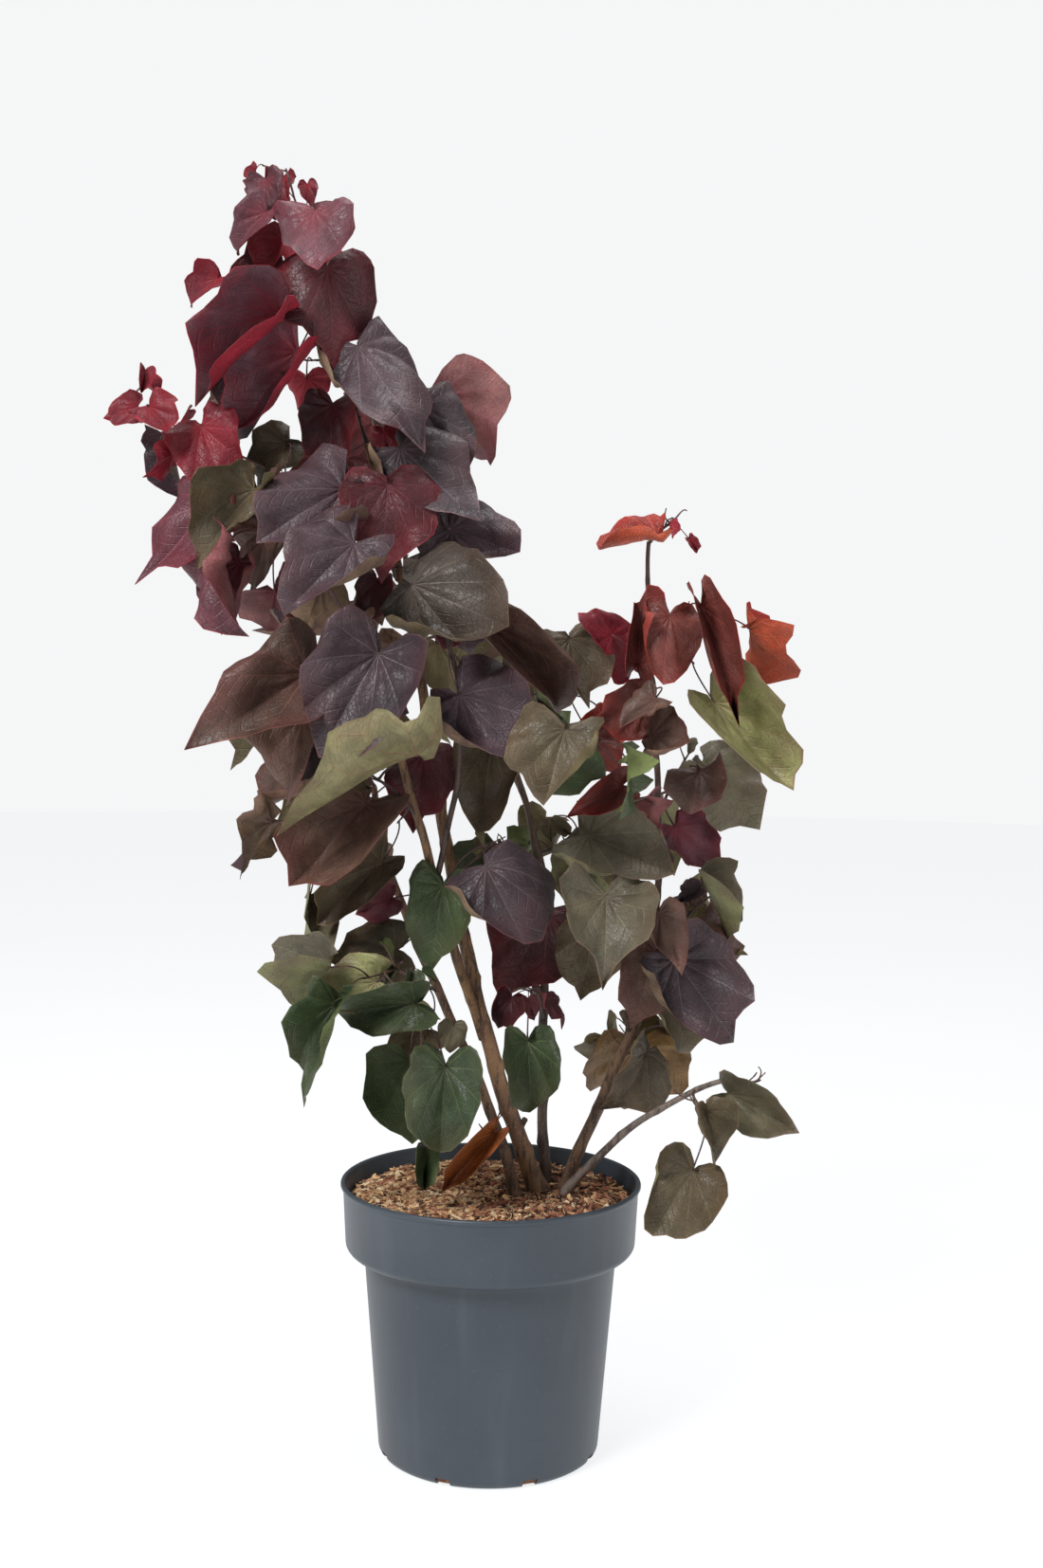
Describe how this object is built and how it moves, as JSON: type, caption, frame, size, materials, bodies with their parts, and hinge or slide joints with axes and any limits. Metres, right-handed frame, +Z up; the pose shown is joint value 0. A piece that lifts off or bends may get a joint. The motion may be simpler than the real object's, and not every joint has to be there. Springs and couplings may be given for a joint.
{
  "type": "potted redbud tree",
  "caption": "Young multi-stemmed redbud with purple, crimson and green heart-shaped leaves, growing in a round nursery pot topped with bark mulch.",
  "frame": {"origin": "middle of the pot's flat underside, on the surface that the pot stands on", "axes": "+Z up the plant, -Y towards the front, which is the side the plant is looked at from, +X to the right of that front"},
  "size_m": [0.6915, 0.506, 1.2917],
  "materials": {
    "pot_plastic": "satin",
    "mulch": "matte",
    "bark": "matte",
    "dark_bark": "matte",
    "leaf_crimson": "satin",
    "leaf_mauve": "satin",
    "leaf_burgundy": "satin",
    "leaf_slate": "satin",
    "leaf_brown": "satin",
    "leaf_olive": "satin",
    "leaf_green": "satin",
    "leaf_sage": "satin"
  },
  "bodies": {
    "root": {"pot": "pot_plastic", "root_ball": "mulch", "main_stem": "bark", "left_stem": "bark", "centre_stem": "dark_bark", "right_stem": "bark", "low_stem": "dark_bark", "side_bough": "bark", "fork_bough": "dark_bark", "right_bough": "dark_bark", "back_bough": "dark_bark", "leader_foliage": "leaf_crimson", "upper_right_foliage": "leaf_slate", "upper_left_foliage": "leaf_brown", "left_tip_foliage": "leaf_crimson", "left_middle_foliage": "leaf_slate", "left_front_foliage": "leaf_olive", "left_stem_foliage": "leaf_olive", "fork_foliage": "leaf_slate", "centre_foliage": "leaf_olive", "right_tip_foliage": "leaf_crimson", "right_upper_foliage": "leaf_burgundy", "right_middle_foliage": "leaf_sage", "right_low_foliage": "leaf_slate", "middle_foliage": "leaf_olive", "heart_foliage": "leaf_burgundy", "left_foot_foliage": "leaf_green", "soil_foliage": "leaf_olive", "right_foot_foliage": "leaf_olive", "low_tip_foliage": "leaf_sage", "low_side_foliage": "leaf_sage", "back_upper_foliage": "leaf_mauve", "back_bough_foliage": "leaf_slate", "back_low_foliage": "leaf_sage"}
  },
  "joints": []
}
